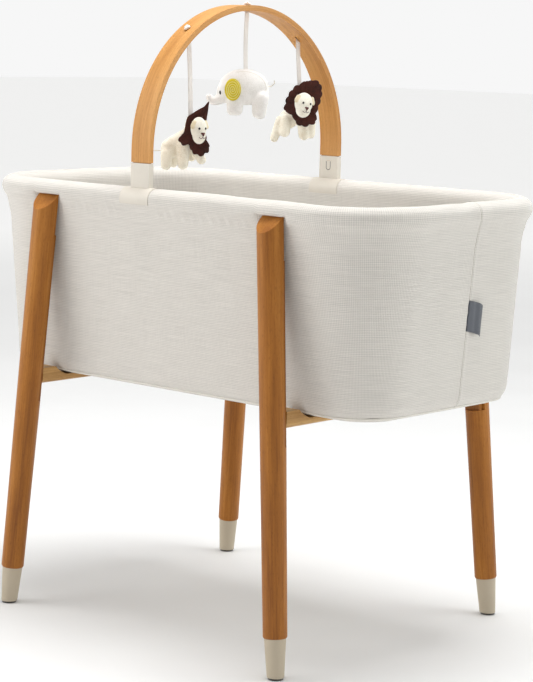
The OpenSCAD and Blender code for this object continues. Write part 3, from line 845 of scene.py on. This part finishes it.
def mattress():
    low, high, hl, hw, corner_r = 0.3957, 0.4405, 0.379, 0.1715, 0.062
    pts, nor = loop(hl, hw, corner_r)
    grid = []
    for f, z, out in mattress_rows(low, high):
        xy = (pts + nor * out) * f
        grid.append([(x, y, z + (quilted(x, y, f) if z == high else 0.0)) for x, y in xy])
    ob = outwards(lattice("mattress_pad", round_the_tub(grid), LOOKS["mattress"], wrap_u=True, caps=True))
    flat_uv(ob, 1.0)
    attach(ob, "mattress")
    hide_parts("mattress_core", "mattress_cover")
    size = (hl - 0.0006, hw - 0.0006, corner_r)
    for name, z in (("mattress_piping_upper", high - 0.0035), ("mattress_piping_lower", low + 0.0035)):
        ring_tube(name, size, z, 0.0014, LOOKS["piping"], "mattress", 8)


mattress()


# ---- straps
def tube(name, points, radius, mat, sides=8):
    pts = [Vector(p) for p in points]
    across = Vector((0.31, 0.83, 0.46))
    grid = []
    for k, p in enumerate(pts):
        along = (pts[min(k + 1, len(pts) - 1)] - pts[max(k - 1, 0)]).normalized()
        across = (across - along * across.dot(along)).normalized()
        other = along.cross(across)
        ring = []
        for a in (2 * math.pi * j / sides for j in range(sides)):
            ring.append(tuple(p + across * (radius * math.cos(a)) + other * (radius * math.sin(a))))
        grid.append(ring)
    run = run_length(np.array([tuple(p) for p in pts]), closed=False)
    around = np.arange(sides + 1) * (2 * math.pi * radius / sides)
    return outwards(lattice(name, np.array(grid), mat, run, around, False, True, True))


def squared(value, power):
    """A circle's sine or cosine, pushed out towards a rectangle's corner."""
    return math.copysign(abs(value) ** power, value)


def under_arch(y):
    """Height of a strap's end at y, just inside the arch."""
    return ARCH_SPRING + math.sqrt((ARCH_R - ARCH_T / 2 - STRAP_GAP) ** 2 - y**2)


def strap(which, top_y, foot_y, end):
    """Hanging ribbon, cut to the curve of the arch at its upper end."""
    n, sides = 28, 16
    top = under_arch(top_y)
    path = []
    for f in (k / n for k in range(n + 1)):
        x = ARCH_X + STRAP_BOW[which] * math.sin(math.pi * f)
        path.append((x, top_y + (foot_y - top_y) * f, top + (end - 0.003 - top) * f))
    path = np.array(path)
    grid = []
    for k, (x, y, z) in enumerate(path):
        ring = []
        for a in (2 * math.pi * j / sides for j in range(sides)):
            edge_y = y + STRAP_W / 2 * squared(math.cos(a), 0.35)
            cut = under_arch(edge_y)
            edge_z = cut if k == 0 else min(z, cut - 0.0006 * k) if k < 4 else z
            ring.append((x + STRAP_T / 2 * squared(math.sin(a), 0.8), edge_y, edge_z))
        grid.append(ring)
    run = run_length(path, closed=False)
    around = np.arange(sides + 1) * 0.0014
    name = "strap_ribbon_" + which
    ob = outwards(lattice(name, np.array(grid), LOOKS["ribbon"], run, around, False, True, True))
    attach(ob, "toy_" + which)
    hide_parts("strap_" + which)


for which, place in STRAPS.items():
    strap(which, *place)


# ---- soft toys
def blob(name, parts, mat, voxel=1.5, smooth=5, lumps=0.25):
    """Rounded soft body: balls and limbs in millimetres joined into one skin."""
    bm = bmesh.new()
    for part in parts:
        if part[0] == "ball":
            _, centre, radii, tilt = (*part, 0)[:4]
            turn = Matrix.Rotation(math.radians(tilt), 4, "Y")
            place = Matrix.Translation(centre) @ turn @ Matrix.Diagonal((*radii, 1))
            bmesh.ops.create_icosphere(bm, subdivisions=4, radius=1, matrix=place)
        else:
            _, a, b, r_a, r_b = part
            a, b = Vector(a), Vector(b)
            steps = max(2, int((b - a).length / (0.22 * min(r_a, r_b))))
            for f in (k / steps for k in range(steps + 1)):
                place = Matrix.Translation(a.lerp(b, f)) @ Matrix.Diagonal([r_a + (r_b - r_a) * f] * 3 + [1])
                bmesh.ops.create_icosphere(bm, subdivisions=3, radius=1, matrix=place)
    ob = from_bmesh(name, bm, mat)
    skin = ob.modifiers.new("skin", "REMESH")
    skin.mode, skin.voxel_size, skin.use_smooth_shade = "VOXEL", voxel, True
    relax = ob.modifiers.new("relax", "SMOOTH")
    relax.factor, relax.iterations = 0.5, smooth
    baked(ob)
    for v in ob.data.vertices:
        p = v.co * 0.09
        v.co += v.normal * lumps * (noise.noise(p) + 0.5 * noise.noise(p * 3.1))
    return smoothed(finished(ob, mat))


def skin_of(ob):
    points = [v.co.copy() for v in ob.data.vertices]
    return BVHTree.FromPolygons(points, [tuple(p.vertices) for p in ob.data.polygons])


def touch(skin, start, direction, lift=0.0):
    """Where a line from start meets the skin, lifted off it, and the skin's direction there."""
    hit, normal, _, _ = skin.ray_cast(Vector(start), Vector(direction))
    return (hit + normal * lift, normal) if hit else (None, None)


def touch_side(skin, x, z, side, lift=0.0):
    """Where the skin is at x, z, as seen from -y (side -1) or +y (side 1)."""
    return touch(skin, (x, side * 80, z), (0, -side, 0), lift)


class Toy:
    """Pieces in millimetres in the toy's own directions, put on its strap and given to its body."""

    def __init__(self, which, cad_prefix):
        _, y, z = STRAPS[which]
        self.body = "toy_" + which
        self.prefix = cad_prefix
        turn = Matrix.Rotation(TOY_TURN, 4, "Z")
        self.place = Matrix.Translation((ARCH_X, y, z)) @ turn @ Matrix.Scale(0.001, 4)

    def take(self, ob, slot, *cad):
        ob.data.transform(self.place)
        for layer in ob.data.uv_layers:
            for corner in layer.data:
                corner.uv *= 0.001
        ob.data.update()
        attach(ob, self.body)
        if cad:
            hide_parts(*[self.prefix + c for c in cad])
        return ob


def bead(name, at, normal, size, mat):
    """A slightly flattened bead lying on the skin; size is (half width, half height, half depth)."""
    z = Vector(normal).normalized()
    x = Vector((0, 0, 1)).cross(z).normalized()
    place = Matrix((x, z.cross(x), z)).transposed().to_4x4()
    place.translation = at
    place @= Matrix.Diagonal((*size, 1))
    bm = bmesh.new()
    bmesh.ops.create_uvsphere(bm, u_segments=20, v_segments=14, radius=1, matrix=place)
    return from_bmesh(name, bm, mat)


def joined(name, obs):
    """One object out of several with the same material."""
    bm = bmesh.new()
    for ob in obs:
        bm.from_mesh(ob.data)
    mat = obs[0].data.materials[0]
    for ob in obs:
        bpy.data.objects.remove(ob)
    return from_bmesh(name, bm, mat)


def patch(name, skin, centre, rx, rz, side, mat, lift, thick, rings=7, n=36):
    """A felt oval lying on the skin, seen from -y (side -1) or +y (side 1)."""
    grid = []
    for f in (i / rings * 0.98 + 0.02 for i in range(rings + 1)):
        ring = []
        for a in (2 * math.pi * j / n for j in range(n)):
            x, z = centre[0] + rx * f * math.cos(a), centre[1] + rz * f * math.sin(a)
            hit, _ = touch_side(skin, x, z, side)
            ring.append((x, hit.y + side * (lift + (0.5 if f > 0.9 else 0)), z))
        grid.append(ring)
    ob = lattice(name, np.array(grid), mat, wrap_v=True)
    close_middle(ob, grid[0][0], rx * 0.2)
    thicken(ob, thick, 0)
    return baked(ob)


def elephant():
    toy = Toy("middle", "elephant_")
    parts = [
        ("ball", (-2.5, 0, -29), (40.5, 17.5, 29.5)),
        ("ball", (-2, 0, -36), (41, 17, 23)),
        ("ball", (-25.5, 0, -36), (21.5, 15, 20.5)),
        ("limb", (-34, 0, -44), (-47, 0, -53), 12, 7.5),
        ("limb", (-47, 0, -53), (-56, 0, -52.5), 7.5, 6.3),
        ("limb", (-56, 0, -52.5), (-59, 0, -47.5), 6.3, 6.0),
    ]
    for side in (-5.5, 5.5):
        parts += [
            ("limb", (-20, side, -48), (-20, side, -66), 10.5, 10.5),
            ("limb", (-13.5, side, -48), (-13.5, side, -66), 10.5, 10.5),
            ("limb", (27, side, -46), (25, side, -71), 12.5, 10.5),
            ("limb", (22, side, -48), (21.5, side, -70), 11, 10),
        ]
    body = blob("elephant_skin", parts, LOOKS["white"])
    skin = skin_of(body)
    ear_x, ear_z = -20.3, -33.6
    ears, rings, eyes, seams = [], [], [], []
    for side in (-1, 1):
        ears.append(patch("ear", skin, (ear_x, ear_z), 13.3, 18.0, side, LOOKS["yellow"], 0.9, 1.3))
        spiral = []
        for f in (k / 149 for k in range(150)):
            a = 2 * math.pi * 4.2 * f
            x, z = ear_x + 12.0 * f * math.cos(a), ear_z + 16.3 * f * math.sin(a)
            spiral.append((x, touch_side(skin, x, z, side)[0].y + side * 1.65, z))
        rings.append(tube("ring", spiral, 0.55, LOOKS["pale_yellow"], 6))
        eyes.append(bead("eye", *touch_side(skin, -40.8, -39, side, 0.2), (1.6, 3.4, 1.2), LOOKS["black"]))
    # seam of the back gusset, as a fine cord just on the skin
    for side in (-1, 1):
        line = []
        for a in (math.radians(-20 + 130 * k / 59) for k in range(60)):
            hit, _ = touch_side(skin, -2 + 36.0 * math.cos(a), -31 + 27.0 * math.sin(a), side, 0.1)
            if hit:
                line.append(tuple(hit))
        seams.append(tube("seam", curve_points(line, 90), 0.35, LOOKS["thread"], 6))
    curl = [(33, -26.4), (37.5, -27.6), (41.8, -27), (45.5, -24.5), (47.7, -21), (46.6, -17.2)]
    curl = curve_points([(x, 0, z) for x, z in curl], 30)
    tail = tube("elephant_tail_thread", curl, 0.95, LOOKS["thread"])
    toy.take(body, "white_plush", "body")
    toy.take(joined("elephant_ear_felts", ears), "yellow_felt", "ears")
    toy.take(joined("elephant_ear_stitches", rings), "yellow_felt")
    toy.take(joined("elephant_eyes", eyes), "black_rubber")
    toy.take(joined("elephant_seams", seams), "thread")
    toy.take(tail, "thread", "tail")


def mane(name, outline, centre, y0, cup, scallops_from, n=240, rings=12):
    """Felt collar: a sheet from near the face out to its outline, cupped towards the face.
    Below the height scallops_from its edge is scalloped and the felt puckers between the scallops."""
    count = len(outline)
    keys = outline[-1:] + outline + outline[:2]
    line = curve_points(keys, (count + 2) * 12 + 1)[12 : 12 + count * 12]
    run = run_length(line)
    at = np.linspace(0, run[-1], n, endpoint=False)
    shut = np.vstack([line, line[:1]])
    line = np.column_stack([np.interp(at, run, shut[:, 0]), np.interp(at, run, shut[:, 1])])
    scallops = round(run[-1] / 12.5)
    petal = np.abs(np.sin(np.arange(n) / n * scallops * math.pi)) ** 0.75
    petal = petal * smooth01((scallops_from - line[:, 1]) / 8)
    middle = np.array(centre, float)
    grid = []
    for f in (0.04 + 0.96 * i / rings for i in range(rings + 1)):
        ring = []
        for p, bulge in zip(line, petal):
            arm = p - middle
            x, z = middle + arm * f + arm / np.linalg.norm(arm) * (2.4 * bulge * f**4)
            y = y0 - cup * f**2 - 2.2 * f**3 * bulge + 1.6 * f * wave(x * 0.08, z * 0.08, 1)
            ring.append((x, y, z))
        grid.append(ring)
    ob = lattice(name, np.array(grid), LOOKS["mane"], wrap_v=True)
    close_middle(ob, (middle[0], y0, middle[1]), 4)
    thicken(ob, 1.8, 0)
    return baked(ob)


def lion_ear(side, wide, high):
    parts = [("ball", (0, 0, 0), (4.4, 1.9, 7.6)), ("ball", (0, -0.4, 3.4), (4.6, 2.0, 4.4))]
    ear = blob("ear", parts, LOOKS["tan"], 0.8, 2, 0.1)
    ear.data.transform(
        Matrix.Translation((side * wide * 0.93, -3.5, high * 0.42))
        @ Matrix.Rotation(-side * math.radians(28), 4, "Y")
        @ Matrix.Rotation(side * math.radians(24), 4, "Z")
    )
    return ear


def lion_head(toy, centre, yaw, wide, high, tilt=0):
    """Head with floppy ears, bead eyes, felt nose and a stitched smile.
    It is built looking towards -y, then turned by yaw and leant over by tilt."""
    balls = [
        ("ball", (0, 0, high * 0.14), (wide, 12.5, high * 0.86)),
        ("ball", (0, -1.5, -high * 0.36), (wide * 0.80, 11.5, high * 0.64)),
        ("ball", (0, -5.5, -high * 0.30), (wide * 0.50, 8.5, high * 0.34)),
    ]
    head = blob(toy.prefix + "head_skin", balls, LOOKS["face"], 1.1, 4, 0.15)
    skin = skin_of(head)
    nose_z = -high * 0.24

    def on_face(x, z, lift):
        return touch(skin, (x, -60, z), (0, 1, 0), lift)

    eyes, nose, smile, ears = [], [], [], []
    for side in (-1, 1):
        at = on_face(side * wide * 0.44, high * 0.16, 0.3)
        eyes.append(bead("eye", *at, (1.8, 2.0, 1.4), LOOKS["black"]))
    for x, z, w, h in ((-1.7, 0.9, 2.1, 1.7), (1.7, 0.9, 2.1, 1.7), (0, -1.1, 1.9, 2.2)):
        nose.append(bead("nose", *on_face(x, nose_z + z, 0.2), (w, h, 1.3), LOOKS["nose"]))
    for side in (-1, 1):
        keys = [(0, -2.8), (0, -4.8), (side * 1.9, -6.8), (side * 4.2, -6.5), (side * 5.8, -4.9)]
        line = [tuple(on_face(x, nose_z + z, 0.1)[0]) for x, z in curve_points(keys, 18)]
        smile.append(tube("smile", line, 0.45, LOOKS["nose"], 6))
        ears.append(lion_ear(side, wide, high))
    turn = (
        Matrix.Translation(centre)
        @ Matrix.Rotation(math.radians(yaw), 4, "Z")
        @ Matrix.Rotation(math.radians(tilt), 4, "Y")
    )
    pieces = [(head, "cream_plush", "head")]
    pieces.append((joined(toy.prefix + "eyes", eyes), "black_rubber"))
    pieces.append((joined(toy.prefix + "nose", nose), "brown_felt"))
    pieces.append((joined(toy.prefix + "smile", smile), "brown_felt"))
    pieces.append((joined(toy.prefix + "ears", ears), "cream_plush"))
    for ob, *taken in pieces:
        ob.data.transform(turn)
        toy.take(ob, *taken)


def lion(which, parts, outline, mane_shape, head, tail):
    """A lion toy: plush body, felt mane, head and thread tail."""
    toy = Toy(which, "lion_" + which + "_")
    body = blob(toy.prefix + "skin", parts, LOOKS["cream"])
    toy.take(body, "cream_plush", "body")
    toy.take(mane(toy.prefix + "mane_felt", outline, *mane_shape), "brown_felt", "mane")
    lion_head(toy, *head)
    toy.take(tube(toy.prefix + "tail_thread", curve_points(tail, 14), 0.9, LOOKS["thread"]), "thread", "tail")


def lion_left():
    parts = [
        ("ball", (-32, 9, -54), (15.5, 15, 17)),
        ("limb", (-31, 9, -52), (-4, 8, -34), 15.5, 14),
        ("limb", (-37, 1, -62), (-38, -2, -80), 10.5, 8.5),
        ("limb", (-27, 18, -62), (-27, 19, -78), 9, 7.5),
        ("limb", (-11, -1, -48), (-10.5, -5, -77.5), 11, 9.2),
        ("limb", (-1, 14, -50), (3, 14, -68), 8, 7),
        ("limb", (10, 0, -56), (19, -3, -70), 8.8, 8),
        ("limb", (-2, 8, -30), (0, 4, -6), 10, 7),
    ]
    hood = [
        (28.7, 22.6), (22, 15), (15, 11), (8, 6.5), (2, 2.5), (-3.8, -2), (-6.5, -10), (-8, -19), (-10, -28),
        (-15.4, -35), (-15.5, -41), (-10, -45.5), (-4, -45), (0, -46), (2, -52), (6, -58), (11, -59),
        (15, -62), (21, -61), (25, -58), (29, -55), (30.5, -48), (28, -42), (25, -36), (24.5, -24),
        (25, -12), (26, -3), (27.5, 8), (28.3, 16),
    ]
    tail = [(-45, 9, -57.5), (-49, 9, -57.9), (-54, 9, -57.8), (-58, 9, -57.4)]
    lion("left", parts, hood, ((11, -22), -5.0, 6.0, -26), ((14, -18, -23), 34, 13, 21.5), tail)


def lion_right():
    parts = [
        ("ball", (-18, 12, -56), (16, 14, 17)),
        ("limb", (-18, 12, -56), (6, 10, -46), 15, 15),
        ("limb", (-32, 6, -58), (-41, 4, -88), 8, 7.5),
        ("limb", (-22, 3, -58), (-24, 0, -77), 10, 9.5),
        ("limb", (7, 2, -62), (9, -2, -81.5), 10.5, 9.5),
        ("limb", (20, 5, -62), (20, 3, -79.5), 9, 8.5),
        ("limb", (2, 8, -38), (0, 4, -8), 11, 7),
    ]
    ruff = [
        (9, 8), (14, 7), (20.5, 9.5), (27, 8.5), (32, 5), (35.5, -4), (35, -16), (31.5, -29.5), (27.5, -42),
        (28, -54), (25.5, -60), (19, -62), (11.5, -65), (2.6, -64), (-4, -60), (-7.5, -52.5), (-17, -44),
        (-24, -40), (-23, -32), (-20.5, -21.8), (-15.5, -11.5), (-7, -1.5), (2.6, 3.4),
    ]
    tail = [(-28, 11, -48), (-31, 11, -50), (-34, 11, -53), (-36, 11, -56)]
    lion("right", parts, ruff, ((7, -30), -5.0, 5.0, 40), ((6.5, -18, -31), 28, 15.8, 21, 8), tail)


elephant()
lion_left()
lion_right()


# ---- knots
def knots():
    """A flat knot of ribbon on the arch's outer face, above each strap."""
    parts = [
        ("ball", (0, 0, 2.4), (3.4, 5.6, 2.4)),
        ("ball", (0.6, 2.6, 3.1), (4.4, 2.4, 2.2), 25),
        ("ball", (-0.6, -2.6, 2.9), (4.4, 2.4, 2.1), -25),
        ("ball", (0, 0, 3.6), (5.0, 1.9, 1.7), 12),
    ]
    centre = Matrix.Translation((ARCH_X, 0, ARCH_SPRING))
    up_to_face = Matrix.Translation((0, 0, ARCH_R + ARCH_T / 2)) @ Matrix.Scale(0.001, 4)
    obs = []
    for y, _, _ in STRAPS.values():
        ob = blob("knot", parts, LOOKS["ribbon"], 0.6, 2, 0.2)
        ob.data.transform(centre @ Matrix.Rotation(-math.asin(y / ARCH_R), 4, "X") @ up_to_face)
        obs.append(ob)
    ob = joined("ribbon_knots", obs)
    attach(ob, "arch")
    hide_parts("strap_knots")


knots()


# ---- CAD nodes that keep their shape
FINISHES = {
    "bar": ["crossbar_right", "crossbar_left"],
    "slat": ["stretcher", "stretcher_dowels"],
    "steel": ["batten_screws", "crossbar_bolts", "barrel_nuts", "foot_screws", "rim_tube"],
    "clip": ["clip_front", "clip_rear", "release_tab_front", "release_tab_rear"],
    "board": ["base_board"],
    "arch": ["arch"],
    "foam": ["rim_pad", "wall_foam", "mattress_core"],
    "batten": four("batten"),
    "cap": four("foot_cap"),
    "glide": four("glide"),
    "rubber": four("buffer"),
    **{leg: [leg] for leg in four("leg")},
}
SOFT_EDGES = [
    (0.0009, ["clip_front", "clip_rear"] + four("leg")),
    (0.0008, ["crossbar_right", "crossbar_left", "stretcher", "arch"]),
    (0.0007, four("foot_cap")),
]

for finish, names in FINISHES.items():
    for name in names:
        finished(nodes[name], LOOKS[finish])
for width, names in SOFT_EDGES:
    for name in names:
        bevel = nodes[name].modifiers.new("edges", "BEVEL")
        bevel.width, bevel.segments = width, 2
        bevel.limit_method, bevel.angle_limit = "ANGLE", math.radians(35)


# ---- floor
def floor():
    """Pale floor that glows a little more with distance, so that it runs into the sky."""
    half, z = 30, -0.0005
    corners = [(x * half, y * half, z) for x, y in ((-1, -1), (1, -1), (1, 1), (-1, 1))]
    mesh = bpy.data.meshes.new("floor")
    mesh.from_pydata(corners, [], [(0, 1, 2, 3)])
    paint = Shader("floor_paint", 0.7, Emission_Strength=1.0)
    v = paint.coords()
    paint.colour(paint.ramp(paint.noise(v, 3, 2), [(0.4, (0.86, 0.86, 0.855)), (0.6, (0.88, 0.88, 0.875))]))
    far = paint.math("MULTIPLY_ADD", paint.length(v), 0.10, 0.02)
    glow = paint.ramp(far, [(0.12, (0.0, 0.0, 0.0)), (0.7, (0.46, 0.46, 0.455))])
    paint.put(paint.b.inputs["Emission Color"], glow)
    add("floor", mesh, paint.m)


floor()
